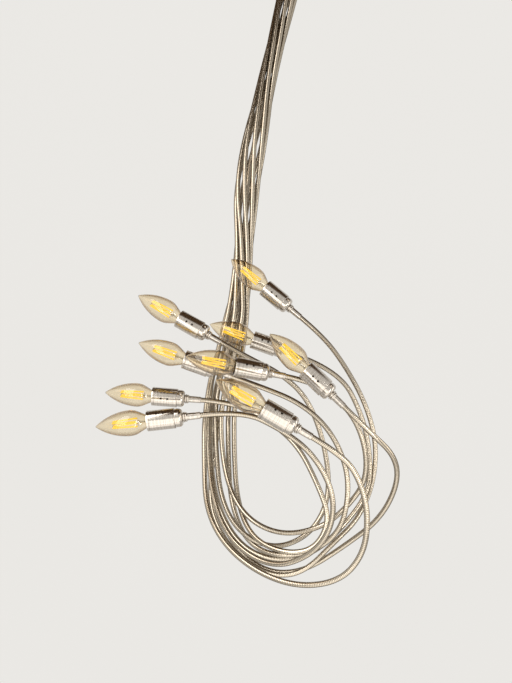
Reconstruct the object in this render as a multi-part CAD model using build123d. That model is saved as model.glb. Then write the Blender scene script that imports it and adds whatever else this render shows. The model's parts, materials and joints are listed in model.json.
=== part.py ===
from build123d import *
import math
import os

# A ceiling pendant light of nine flexible metal arms. They leave a round canopy as one loose, twisted
# bundle, fan out, turn through an open loop and each end in a turned lampholder with a candle bulb.
# Frame: origin on the ceiling plane over the bundle, +Z up, +X to the viewer's right, -Y to the viewer.
# Lengths are in millimetres, angles in degrees.

# Overall
drop = 1000.0
arm_count = 9

# Flexible tube
tube_radius = 3.8
neck_length = 22.0
bend_share = 0.45
end_bend_share = 0.9

# Lampholder, from the tube outwards
ferrule_radius = 4.5
ferrule_length = 18.0
ferrule_taper = 1.0
cable_bore_radius = 2.4
collar_radius = 6.4
collar_length = 5.2
collar_edge = 0.7
collar_groove = 0.8
end_cap_radius = 12.6
end_cap_length = 9.6
end_cap_edge = 3.2
seam_depth = 0.9
seam_width = 0.8
barrel_floor = 2.4
barrel_radius = 13.9
barrel_length = 38.8
barrel_edge = 0.6
barrel_wall = 1.5
wire_chamber_radius = 8.0
wire_chamber_depth = 6.0
grub_hole_radius = 1.2
grub_hole_spacing = 9.4
grub_hole_setback = 14.6
grub_hole_turn = 25.0
end_hole_radius = 1.9
end_hole_turn = 62.0

# Insulating insert, screw shell and centre contact of the holder
insert_gap = 0.3
insert_setback = 7.5
insert_floor = 6.0
insert_shelf = 4.0
contact_chamber_radius = 5.6
screw_shell_wall = 0.8
screw_shell_setback = 1.0
seat_fit = 0.05
contact_radius = 3.0
contact_foot_radius = 4.4
contact_foot_height = 1.0

# Candle bulb: cap, envelope and filaments
thread_fit = 0.1
bulb_cap_radius = 6.95
bulb_cap_collar_radius = 8.3
bulb_cap_collar_length = 3.4
bulb_cap_recess = 2.6
bulb_cap_setback = 3.6
bulb_cone_height = 3.0
bulb_cone_radius = 3.2
bulb_contact_radius = 2.4
bulb_contact_height = 1.6
glass_radius = 17.5
glass_wall = 0.9
glass_neck_radius = 7.3
glass_length = 70.0
glass_belly = 22.8
glass_shoulder_radius = 24.0
glass_shoulder_turn = 27.0
glass_tip_radius = 1.6
stem_base_height = 1.6
stem_flare_height = 6.0
stem_radius = 2.1
stem_bead_radius = 2.9
stem_bead_height = 2.6
filament_start = 13.4
filament_length = 33.6
filament_radius = 1.2
filament_foot_ring = 5.6
filament_head_ring = 4.6
filament_twist = 18.0
filament_count = 4
support_wire_radius = 0.45

# Canopy and its fittings
canopy_radius = 60.0
canopy_height = 52.0
canopy_wall = 1.2
canopy_edge = 9.0
hub_wall = 3.2
hub_fit = 0.1
hub_showing = 14.0
hub_flange_thickness = 3.0
hub_flange_reach = 7.0
hub_edge = 1.5
tube_seat_depth = 16.0
tube_lead_in = 18.0
strap_width = 20.0
strap_thickness = 2.0
strap_side_gap = 1.2
tab_height = 16.0
tab_edge = 3.0
ceiling_slot_spacing = 70.0
ceiling_slot_length = 14.0
ceiling_slot_width = 5.0
block_length = 38.0
block_width = 17.0
block_height = 15.0
block_edge = 1.2
block_ways = 3
block_way_spacing = 11.0
block_wire_radius = 2.2
block_screw_radius = 1.9
block_screw_well = 5.0
block_web = 7.5
screw_radius = 1.9
screw_length = 9.0
screw_head_radius = 3.8
screw_head_height = 2.4
screw_slot_width = 0.9
screw_slot_depth = 1.0
screw_fit = 0.1
canopy_screw_drop = 9.0
overrun = 1.0

# The bundle below the hub, station by station: height and sideways place as shares of the drop, and the
# ring that eight strands lie on, in tube radii. The ninth strand runs in the middle.
station_height_shares = (-0.180, -0.280, -0.385, -0.475, -0.565, -0.645, -0.710)
station_side_shares = (-0.0215, -0.044, -0.064, -0.078, -0.081, -0.0865, -0.096)
ring_shares = (3.5, 3.3, 4.9, 5.1, 3.2, 3.55, 5.0)
hub_ring_share = 4.35
station_twist = 34.0
ring_places = {7: -135, 9: 180, 6: 135, 1: 90, 3: 45, 8: 0, 5: -45, 2: -90}
middle_arm = 4

# The arms from the foot of the bundle round the loop to the ferrule, as shares of the drop along X, Y
# and Z. The last two places lie on the lampholder's axis.
route_shares = {
    1: (
        (-0.125, 0.020, -0.889),
        (-0.137, 0.020, -0.982),
        (-0.111, 0.012, -1.044),
        (-0.071, 0.000, -1.079),
        (-0.026, -0.008, -1.096),
        (0.014, -0.015, -1.085),
        (0.053, -0.022, -1.046),
        (0.090, -0.026, -1.012),
        (0.114, -0.028, -0.961),
        (0.121, -0.031, -0.901),
        (0.107, -0.036, -0.843),
        (0.078, -0.040, -0.786),
        (0.043, -0.042, -0.736),
        (0.007, -0.043, -0.705),
    ),
    2: (
        (-0.126, -0.004, -0.821),
        (-0.124, -0.008, -0.907),
        (-0.115, -0.024, -0.983),
        (-0.086, -0.034, -1.032),
        (-0.036, -0.038, -1.054),
        (0.012, -0.038, -1.037),
        (0.040, -0.042, -0.999),
        (0.047, -0.050, -0.953),
        (0.036, -0.062, -0.889),
        (0.012, -0.076, -0.833),
        (-0.027, -0.086, -0.800),
        (-0.072, -0.091, -0.779),
        (-0.114, -0.092, -0.755),
    ),
    3: (
        (-0.106, -0.002, -0.829),
        (-0.105, -0.004, -0.915),
        (-0.100, -0.012, -0.990),
        (-0.075, -0.024, -1.046),
        (-0.031, -0.048, -1.065),
        (0.023, -0.062, -1.056),
        (0.059, -0.080, -1.026),
        (0.070, -0.092, -0.977),
        (0.066, -0.098, -0.931),
        (0.041, -0.102, -0.881),
        (0.000, -0.104, -0.846),
        (-0.050, -0.103, -0.825),
        (-0.098, -0.106, -0.808),
    ),
    4: (
        (-0.133, 0.008, -0.827),
        (-0.134, 0.008, -0.914),
        (-0.122, -0.002, -0.990),
        (-0.088, -0.012, -1.049),
        (-0.037, -0.024, -1.072),
        (0.020, -0.032, -1.063),
        (0.068, -0.036, -1.021),
        (0.105, -0.036, -0.974),
        (0.111, -0.034, -0.924),
        (0.101, -0.036, -0.859),
        (0.065, -0.044, -0.789),
        (0.001, -0.046, -0.766),
    ),
    5: (
        (-0.117, -0.012, -0.830),
        (-0.115, -0.014, -0.911),
        (-0.099, -0.040, -0.976),
        (-0.068, -0.052, -1.016),
        (-0.020, -0.055, -1.034),
        (0.035, -0.058, -1.022),
        (0.068, -0.072, -0.995),
        (0.095, -0.090, -0.959),
        (0.094, -0.112, -0.912),
        (0.073, -0.128, -0.863),
        (0.026, -0.132, -0.822),
        (-0.021, -0.140, -0.814),
    ),
    6: (
        (-0.134, 0.034, -0.888),
        (-0.130, 0.044, -0.982),
        (-0.096, 0.034, -1.055),
        (-0.044, 0.016, -1.092),
        (0.012, 0.004, -1.088),
        (0.070, -0.022, -1.050),
        (0.118, -0.060, -1.011),
        (0.140, -0.095, -0.962),
        (0.132, -0.130, -0.925),
        (0.092, -0.159, -0.893),
        (0.058, -0.160, -0.859),
    ),
    7: (
        (-0.129, -0.016, -0.775),
        (-0.142, -0.018, -0.854),
        (-0.140, -0.032, -0.927),
        (-0.135, -0.062, -0.995),
        (-0.107, -0.092, -1.046),
        (-0.059, -0.120, -1.082),
        (-0.004, -0.145, -1.098),
        (0.048, -0.170, -1.088),
        (0.077, -0.186, -1.053),
        (0.082, -0.201, -1.006),
        (0.072, -0.213, -0.963),
        (0.050, -0.224, -0.931),
        (0.009, -0.228, -0.907),
    ),
    8: (
        (-0.096, -0.008, -0.829),
        (-0.096, -0.008, -0.907),
        (-0.091, -0.022, -0.983),
        (-0.069, -0.050, -1.038),
        (-0.021, -0.074, -1.059),
        (0.022, -0.085, -1.052),
        (0.043, -0.094, -1.010),
        (0.025, -0.094, -0.960),
        (-0.001, -0.088, -0.907),
        (-0.042, -0.080, -0.870),
        (-0.094, -0.070, -0.842),
        (-0.144, -0.070, -0.838),
    ),
    9: (
        (-0.139, -0.004, -0.837),
        (-0.136, -0.002, -0.914),
        (-0.125, -0.034, -0.990),
        (-0.094, -0.066, -1.048),
        (-0.038, -0.095, -1.077),
        (0.013, -0.120, -1.059),
        (0.040, -0.145, -1.023),
        (0.042, -0.165, -0.975),
        (0.014, -0.176, -0.924),
        (-0.030, -0.178, -0.891),
        (-0.081, -0.176, -0.867),
        (-0.137, -0.174, -0.873),
    ),
}

# Heights along a lampholder, measured from the ferrule's end
collar_foot = ferrule_length
end_cap_foot = collar_foot + collar_length + collar_groove
barrel_foot = end_cap_foot + end_cap_length
bore_foot = barrel_foot + barrel_floor
mouth = barrel_foot + barrel_length
bore_radius = barrel_radius - barrel_wall
wire_chamber_foot = barrel_foot - wire_chamber_depth
insert_top = mouth - insert_setback
socket_radius = bulb_cap_radius + thread_fit
screw_shell_radius = socket_radius + screw_shell_wall
insert_bore_radius = screw_shell_radius + seat_fit
contact_floor = bore_foot + insert_floor
screw_shell_foot = contact_floor + insert_shelf
bulb_cap_top = mouth - bulb_cap_setback
bulb_cap_collar_foot = bulb_cap_top - bulb_cap_collar_length
contact_top = screw_shell_foot + seat_fit
bulb_foot = contact_top + thread_fit
neck_foot = bulb_cap_top - bulb_cap_recess
filament_foot = mouth + filament_start

# Heights in the ceiling fitting
canopy_floor = canopy_wall - canopy_height
hub_ring = hub_ring_share * tube_radius
hub_radius = hub_ring + tube_radius + hub_wall
hub_foot = -canopy_height - hub_showing
hub_top = canopy_floor + hub_flange_thickness
tube_top = hub_foot + tube_seat_depth


def turned(points):
    """A solid of revolution about Z from a closed outline of (radius, height) points."""
    outline = Polyline(*[(radius, 0, height) for radius, height in points], close=True)
    return revolve(make_face(outline), axis=Axis.Z, revolution_arc=360)


def rod(start, end, radius):
    """A round rod between two places."""
    way = end - start
    return Plane(origin=start, z_dir=way) * extrude(Circle(radius), amount=way.length)


# Arms


def ring_place(arm, height, side, ring, station):
    """Where an arm passes a station of the twisted bundle."""
    if arm == middle_arm:
        return Vector(side, 0, height)
    turn = math.radians(ring_places[arm] + station_twist * station)
    return Vector(side + ring * math.cos(turn), ring * math.sin(turn), height)


def arm_route(arm):
    """The arm's corners from its seat in the hub to the ferrule's end."""
    last = len(station_height_shares)
    corners = []
    for height in (tube_top, hub_foot - tube_lead_in):
        corners.append(ring_place(arm, height, 0, hub_ring, -last))
    stations = zip(station_height_shares, station_side_shares, ring_shares)
    for number, (height_share, side_share, ring_share) in enumerate(stations):
        height = drop * height_share
        side = drop * side_share
        ring = tube_radius * ring_share
        corners.append(ring_place(arm, height, side, ring, number + 1 - last))
    for x_share, y_share, z_share in route_shares[arm]:
        corners.append(Vector(drop * x_share, drop * y_share, drop * z_share))
    return corners


def head_plane(arm):
    """The lampholder's own plane: origin at the ferrule's end, +Z towards the bulb, +X to the viewer."""
    before, end = arm_route(arm)[-2:]
    axis = (end - before).normalized()
    viewer = Vector(0, -1, 0)
    across = viewer - axis * viewer.dot(axis)
    return Plane(origin=end, x_dir=across, z_dir=axis)


def corner_radii(corners):
    """The largest arc that each corner's two runs allow, the last one clear of the neck."""
    radii = []
    for before, corner, after in zip(corners, corners[1:], corners[2:]):
        arrive = corner - before
        leave = after - corner
        half_turn = math.radians(arrive.get_angle(leave)) / 2
        free_run = leave.length - (neck_length if after == corners[-1] else 0)
        shorter = min(arrive.length, leave.length)
        tangent = min(bend_share * shorter, end_bend_share * free_run)
        radii.append(tangent / math.tan(half_turn))
    return radii


def arm_path(arm):
    """The tube's centre line, down to where its bending neck begins."""
    corners = arm_route(arm)
    radii = corner_radii(corners)
    neck_start = corners[-1] - head_plane(arm).z_dir * neck_length
    path = FilletPolyline(*corners[:-1], neck_start, radius=radii)
    print("arm", arm, "length", round(path.length), "radii", [round(radius) for radius in radii])
    return path


def arm_tube(arm):
    """One flexible tube, its round section swept along straight runs and tangent arcs."""
    path = arm_path(arm)
    section = Plane(origin=path @ 0, z_dir=path % 0) * Circle(tube_radius)
    tube = sweep(section, path=path)
    expected = math.pi * tube_radius**2 * path.length
    print("arm", arm, "volume over section times length", round(tube.volume / expected, 4))
    return tube


def arm_neck(arm):
    """The last stretch of the tube, which bends when its lampholder is aimed."""
    end = head_plane(arm).origin
    start = end - head_plane(arm).z_dir * neck_length
    return rod(start, end, tube_radius)


# Lampholder


def side_hole(radius, height, turn, reach):
    """A round cutter through a wall, square to the lampholder's axis."""
    outwards = Vector(1, 0, 0).rotate(Axis.Z, turn)
    start = Vector(0, 0, height) + outwards * (reach / 2)
    return rod(start, start + outwards * reach, radius)


def holder_shell():
    """Ferrule, collar, end cap and barrel, turned as one and hollow for the cable and the insert."""
    outside = turned(
        (
            (0, 0),
            (ferrule_radius - ferrule_taper / 2, 0),
            (ferrule_radius, ferrule_taper),
            (ferrule_radius, collar_foot),
            (collar_radius - collar_edge, collar_foot),
            (collar_radius, collar_foot + collar_edge),
            (collar_radius, collar_foot + collar_length - collar_edge),
            (collar_radius - collar_edge, collar_foot + collar_length),
            (ferrule_radius, collar_foot + collar_length),
            (ferrule_radius, end_cap_foot),
            (end_cap_radius, end_cap_foot),
            (end_cap_radius, barrel_foot),
            (end_cap_radius - seam_depth, barrel_foot),
            (end_cap_radius - seam_depth, barrel_foot + seam_width),
            (barrel_radius - barrel_edge, barrel_foot + seam_width),
            (barrel_radius, barrel_foot + seam_width + barrel_edge),
            (barrel_radius, mouth - barrel_edge),
            (barrel_radius - barrel_edge, mouth),
            (0, mouth),
        )
    )
    cap_edges = outside.edges().filter_by(GeomType.CIRCLE).filter_by(
        lambda edge: abs(edge.radius - end_cap_radius) < seat_fit
        and abs(edge.center().Z - end_cap_foot) < seat_fit
    )
    outside = fillet(cap_edges, end_cap_edge)
    cable_way = extrude(Circle(cable_bore_radius), amount=mouth)
    chamber = Pos(0, 0, wire_chamber_foot) * extrude(Circle(wire_chamber_radius), amount=mouth)
    bore = Pos(0, 0, bore_foot) * extrude(Circle(bore_radius), amount=mouth)
    shell = outside - cable_way - chamber - bore
    for side in (0, 180):
        for step in (0, grub_hole_spacing):
            height = mouth - grub_hole_setback - step
            shell -= side_hole(grub_hole_radius, height, side + grub_hole_turn, barrel_radius)
        height = barrel_foot - wire_chamber_depth / 2
        shell -= side_hole(end_hole_radius, height, side + end_hole_turn, end_cap_radius)
    return shell


def holder_insert():
    """Insulating body, brass screw shell and sprung centre contact, as three solids."""
    body = extrude(Circle(bore_radius - insert_gap), amount=insert_top - bore_foot)
    body = Pos(0, 0, bore_foot) * body
    socket = Pos(0, 0, screw_shell_foot) * extrude(Circle(insert_bore_radius), amount=mouth)
    chamber = Pos(0, 0, contact_floor) * extrude(Circle(contact_chamber_radius), amount=mouth)
    wire_way = extrude(Circle(cable_bore_radius), amount=mouth)
    body = body - socket - chamber - wire_way
    sleeve_height = insert_top - screw_shell_setback - screw_shell_foot
    sleeve = extrude(Circle(screw_shell_radius) - Circle(socket_radius), amount=sleeve_height)
    sleeve = Pos(0, 0, screw_shell_foot) * sleeve
    contact = turned(
        (
            (0, contact_floor),
            (contact_foot_radius, contact_floor),
            (contact_foot_radius, contact_floor + contact_foot_height),
            (contact_radius, contact_floor + contact_foot_height),
            (contact_radius, contact_top),
            (0, contact_top),
        )
    )
    return Compound(children=[body, sleeve, contact])


# Bulb


def envelope(wall):
    """The candle-shaped body that lies a wall's thickness inside the glass's outer surface."""
    belly_height = mouth + glass_belly
    tip_centre = mouth + glass_length - glass_tip_radius
    rise = tip_centre - belly_height
    flank_radius = glass_radius**2 + rise**2 - glass_tip_radius**2
    flank_radius /= 2 * (glass_radius - glass_tip_radius)
    lean = math.asin(rise / (flank_radius - glass_tip_radius))
    turn = math.radians(glass_shoulder_turn)
    belly = glass_radius - wall
    flank = flank_radius - wall
    shoulder = glass_shoulder_radius - wall
    tip = glass_tip_radius - wall
    neck = glass_neck_radius - wall
    neck_end = (neck, neck_foot)
    shoulder_centre = glass_radius - glass_shoulder_radius
    shoulder_low = (
        shoulder_centre + shoulder * math.cos(turn),
        belly_height - shoulder * math.sin(turn),
    )
    cone_low = (neck, shoulder_low[1] - (shoulder_low[0] - neck) / math.tan(turn))
    shoulder_mid = (
        shoulder_centre + shoulder * math.cos(turn / 2),
        belly_height - shoulder * math.sin(turn / 2),
    )
    flank_centre = glass_radius - flank_radius
    flank_mid = (
        flank_centre + flank * math.cos(lean / 2),
        belly_height + flank * math.sin(lean / 2),
    )
    flank_high = (
        flank_centre + flank * math.cos(lean),
        belly_height + flank * math.sin(lean),
    )
    crown_turn = (lean + math.pi / 2) / 2
    crown_mid = (tip * math.cos(crown_turn), tip_centre + tip * math.sin(crown_turn))
    crown = (0, tip_centre + tip)
    lines = (
        Line((0, neck_foot), neck_end),
        Line(neck_end, cone_low),
        Line(cone_low, shoulder_low),
        ThreePointArc(shoulder_low, shoulder_mid, (belly, belly_height)),
        ThreePointArc((belly, belly_height), flank_mid, flank_high),
        ThreePointArc(flank_high, crown_mid, crown),
        Line(crown, (0, neck_foot)),
    )
    outline = Plane.XZ * make_face(Curve() + list(lines))
    return revolve(outline, axis=Axis.Z, revolution_arc=360)


def bulb_glass():
    """The clear envelope, blown thin, open at its neck."""
    return envelope(0) - envelope(glass_wall)


def bulb_cap():
    """The screw cap with its collar, insulating cone and foot contact."""
    cone_foot = bulb_foot + bulb_contact_height
    shell_foot = cone_foot + bulb_cone_height
    recess_radius = glass_neck_radius + seat_fit
    return turned(
        (
            (0, bulb_foot),
            (bulb_contact_radius, bulb_foot),
            (bulb_contact_radius, cone_foot),
            (bulb_cone_radius, cone_foot),
            (bulb_cap_radius - bulb_contact_height / 2, shell_foot),
            (bulb_cap_radius, shell_foot + bulb_contact_height / 2),
            (bulb_cap_radius, bulb_cap_collar_foot),
            (bulb_cap_collar_radius, bulb_cap_collar_foot),
            (bulb_cap_collar_radius, bulb_cap_top),
            (recess_radius, bulb_cap_top),
            (recess_radius, neck_foot),
            (0, neck_foot),
        )
    )


def ring_point(radius, height, turn):
    """A place on a ring about the bulb's axis."""
    return Vector(radius, 0, height).rotate(Axis.Z, turn)


def bulb_filaments():
    """The glass stem with its wires and the four light sticks that they carry."""
    flare_radius = glass_neck_radius - glass_wall - seat_fit
    flare_foot = neck_foot + stem_base_height
    stem_top = filament_foot - stem_bead_height
    filament_top = filament_foot + filament_length
    mount = turned(
        (
            (0, neck_foot),
            (flare_radius, neck_foot),
            (flare_radius, flare_foot),
            (stem_radius, flare_foot + stem_flare_height),
            (stem_radius, stem_top),
            (stem_bead_radius, stem_top),
            (stem_bead_radius, filament_foot + support_wire_radius),
            (support_wire_radius, filament_foot + support_wire_radius),
            (support_wire_radius, filament_top),
            (0, filament_top),
        )
    )
    wire_root = filament_foot - stem_bead_height / 2
    wire_top = filament_top - 2 * support_wire_radius
    for number in range(filament_count):
        turn = number * 360 / filament_count
        foot = ring_point(filament_foot_ring, filament_foot, turn)
        head = ring_point(filament_head_ring, filament_top, turn + filament_twist)
        mount += rod(foot, head, filament_radius)
        root = ring_point(stem_radius / 2, wire_root, turn)
        tail = ring_point(filament_foot_ring, filament_foot + support_wire_radius, turn)
        mount += rod(root, tail, support_wire_radius)
        crown = ring_point(filament_head_ring, wire_top, turn + filament_twist)
        mount += rod(Vector(0, 0, wire_top), crown, support_wire_radius)
    return mount


# Ceiling fitting


def canopy():
    """The spun cup that covers the ceiling outlet, with its hub hole and two side screw holes."""
    cup = Pos(0, 0, -canopy_height) * extrude(Circle(canopy_radius), amount=canopy_height)
    cup = fillet(cup.faces().sort_by(Axis.Z)[0].edges(), canopy_edge)
    inside = Pos(0, 0, canopy_floor) * extrude(Circle(canopy_radius - canopy_wall), amount=canopy_height)
    inside = fillet(inside.faces().sort_by(Axis.Z)[0].edges(), canopy_edge - canopy_wall)
    hub_hole = Pos(0, 0, -canopy_height - overrun) * extrude(Circle(hub_radius + hub_fit), amount=canopy_height)
    screw_way = rod(
        Vector(-canopy_radius - overrun, 0, -canopy_screw_drop),
        Vector(canopy_radius + overrun, 0, -canopy_screw_drop),
        screw_radius + screw_fit,
    )
    return cup - inside - hub_hole - screw_way


def arm_hub():
    """The turned block that holds the nine tubes, hung by its flange on the canopy's floor."""
    flange_radius = hub_radius + hub_flange_reach
    hub = turned(
        (
            (0, hub_foot),
            (hub_radius - hub_edge, hub_foot),
            (hub_radius, hub_foot + hub_edge),
            (hub_radius, canopy_floor),
            (flange_radius, canopy_floor),
            (flange_radius, hub_top),
            (0, hub_top),
        )
    )
    for arm in range(1, arm_count + 1):
        seat = arm_route(arm)[0]
        foot = Vector(seat.X, seat.Y, hub_foot - overrun)
        hub -= rod(foot, seat, tube_radius + seat_fit)
        hub -= rod(foot, Vector(seat.X, seat.Y, hub_top + overrun), cable_bore_radius)
    return hub


def tab_face():
    """How far out the strap's tabs stand, just inside the canopy's wall at their edges."""
    inner_radius = canopy_radius - canopy_wall
    return math.sqrt(inner_radius**2 - (strap_width / 2) ** 2) - seat_fit


def ceiling_strap():
    """The folded steel strap that is screwed to the ceiling and carries canopy and terminal block."""
    reach = tab_face()
    strap = Pos(0, 0, -strap_thickness / 2) * Box(2 * reach, strap_width, strap_thickness)
    for side in (-1, 1):
        tab = Box(strap_thickness, strap_width, tab_height)
        bottom = tab.faces().sort_by(Axis.Z)[0]
        tab = fillet(tab.edges().filter_by(Axis.X).group_by(Axis.Z)[0], tab_edge)
        strap += Pos(side * (reach - strap_thickness / 2), 0, -tab_height / 2) * tab
    slot = extrude(SlotOverall(ceiling_slot_length, ceiling_slot_width), amount=strap_thickness + 2 * overrun)
    slot = Pos(0, 0, -strap_thickness - overrun) * slot
    for side in (-1, 1):
        strap -= Pos(side * ceiling_slot_spacing / 2, 0, 0) * slot
    strap -= rod(
        Vector(-reach - overrun, 0, -canopy_screw_drop),
        Vector(reach + overrun, 0, -canopy_screw_drop),
        screw_radius + screw_fit,
    )
    strap -= rod(Vector(0, 0, -strap_thickness - overrun), Vector(0, 0, overrun), screw_radius + screw_fit)
    return strap


def terminal_block():
    """The three-way terminal block under the strap, with wire holes and screw wells."""
    block = Pos(0, 0, -strap_thickness - block_height / 2) * Box(block_length, block_width, block_height)
    block = fillet(block.edges().filter_by(Axis.Z), block_edge)
    foot = -strap_thickness - block_height
    wire_height = foot + block_height / 2
    for way in range(block_ways):
        x = (way - (block_ways - 1) / 2) * block_way_spacing
        if way == block_ways // 2:
            continue
        block -= rod(Vector(x, -block_width, wire_height), Vector(x, block_width, wire_height), block_wire_radius)
        for side in (-1, 1):
            y = side * block_width / 4
            block -= rod(Vector(x, y, foot - overrun), Vector(x, y, foot + block_screw_well), block_screw_radius)
    block -= rod(Vector(0, 0, foot - overrun), Vector(0, 0, -strap_thickness - block_web), screw_head_radius + screw_fit)
    block -= rod(Vector(0, 0, foot), Vector(0, 0, 0), screw_radius + screw_fit)
    return block


def pan_screw():
    """A slotted screw, its shank along +Z from the seat under its head."""
    screw = turned(
        (
            (0, -screw_head_height),
            (screw_head_radius - screw_fit, -screw_head_height),
            (screw_head_radius, -screw_head_height / 2),
            (screw_head_radius, 0),
            (screw_radius, 0),
            (screw_radius, screw_length),
            (0, screw_length),
        )
    )
    slot = Box(3 * screw_head_radius, screw_slot_width, 2 * screw_slot_depth)
    return screw - Pos(0, 0, -screw_head_height) * slot


def fitting_screws():
    """Two screws through the canopy into the strap's tabs and one that holds the terminal block."""
    screws = []
    for side in (-1, 1):
        seat = Vector(side * (canopy_radius + seat_fit), 0, -canopy_screw_drop)
        screws.append(Plane(origin=seat, z_dir=(-side, 0, 0)) * pan_screw())
    screws.append(Pos(0, 0, -strap_thickness - block_web) * pan_screw())
    return screws


def write(shape, node):
    """Writes one node's solids."""
    export_step(shape, f"parts/{node}.step")


def group(shapes):
    """Several separate solids as one node."""
    return Compound(children=list(shapes))


os.makedirs("parts", exist_ok=True)

write(canopy(), "canopy")
write(ceiling_strap(), "ceiling_strap")
write(terminal_block(), "terminal_block")
write(group(fitting_screws()), "fitting_screws")
write(arm_hub(), "arm_hub")
write(group(arm_neck(arm) for arm in range(1, arm_count + 1)), "arm_necks")

head_pieces = {
    "holder_{}_shell": holder_shell(),
    "holder_{}_insert": holder_insert(),
    "bulb_{}_cap": bulb_cap(),
    "bulb_{}_glass": bulb_glass(),
    "bulb_{}_filaments": bulb_filaments(),
}
for arm in range(1, arm_count + 1):
    write(arm_tube(arm), f"arm_{arm}_tube")
    for name, piece in head_pieces.items():
        write(head_plane(arm).location * piece, name.format(arm))
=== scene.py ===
"""Looks of a ceiling pendant light with nine flexible arms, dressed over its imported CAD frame.

The file is laid out as a Blender add-on and is run as a script. Lengths are in metres, except in the places
of the arms and the outlines of the pieces, which are in millimetres and pass through mm().
"""

import json
import math

import bpy
import numpy as np
from bpy.props import FloatProperty, FloatVectorProperty, IntProperty, PointerProperty
from mathutils import Matrix, Vector


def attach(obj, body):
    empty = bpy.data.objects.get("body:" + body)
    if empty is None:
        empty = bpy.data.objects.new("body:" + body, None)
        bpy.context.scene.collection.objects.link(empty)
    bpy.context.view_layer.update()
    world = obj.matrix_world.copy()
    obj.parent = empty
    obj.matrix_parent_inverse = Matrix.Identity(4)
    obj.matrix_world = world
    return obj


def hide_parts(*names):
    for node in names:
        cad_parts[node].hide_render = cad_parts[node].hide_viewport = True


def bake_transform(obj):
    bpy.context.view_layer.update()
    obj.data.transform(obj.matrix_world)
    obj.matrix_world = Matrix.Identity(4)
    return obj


bl_info = {
    "name": "Pendant light with flexible arms",
    "version": (1, 0, 0),
    "blender": (4, 5, 0),
    "location": "View3D > Sidebar > Pendant",
    "description": "Dresses a nine-armed pendant light: wound hoses, turned holders and clear candle bulbs",
    "category": "Add Mesh",
}

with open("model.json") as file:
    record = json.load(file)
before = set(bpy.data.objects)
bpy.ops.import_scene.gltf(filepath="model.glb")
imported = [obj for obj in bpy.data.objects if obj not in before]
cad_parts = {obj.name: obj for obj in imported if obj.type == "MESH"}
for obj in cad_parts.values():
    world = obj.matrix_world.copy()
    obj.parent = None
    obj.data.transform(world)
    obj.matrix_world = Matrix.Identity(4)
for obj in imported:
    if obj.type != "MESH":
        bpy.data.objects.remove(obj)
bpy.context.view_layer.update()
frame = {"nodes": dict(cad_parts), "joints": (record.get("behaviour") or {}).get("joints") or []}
joints = {joint["name"]: joint for joint in frame["joints"]}
ARMS = range(1, 10)

# Edges of turned pieces that are sharper than this many degrees stay crisp.
CRISP_EDGE = 32


# Where the arms run, in millimetres. They leave the hub on a ring, pass the stations of the twisted bundle
# and go round the loop to the holder. These are the places that the CAD tubes go through.

HUB_HEIGHTS = (-50, -84)
HUB_RING = 16.53
STATIONS = (
    # height, sideways place, ring radius
    (-180, -21.5, 13.30),
    (-280, -44.0, 12.54),
    (-385, -64.0, 18.62),
    (-475, -78.0, 19.38),
    (-565, -81.0, 12.16),
    (-645, -86.5, 13.49),
    (-710, -96.0, 19.00),
)
# The bundle turns by this many degrees from station to station.
STATION_TWIST = 34.0
# Each outer arm's place on the ring at the last station, in degrees. The middle arm runs inside the ring.
RING_ANGLES = {7: -135, 9: 180, 6: 135, 1: 90, 3: 45, 8: 0, 5: -45, 2: -90}
MIDDLE_ARM = 4
# Where each holder's small screws face, in degrees up from the viewer.
SCREW_TURNS = {1: -8, 2: -2, 3: 25, 4: 8, 5: 15, 6: -10, 7: 20, 8: -18, 9: 30}
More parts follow.
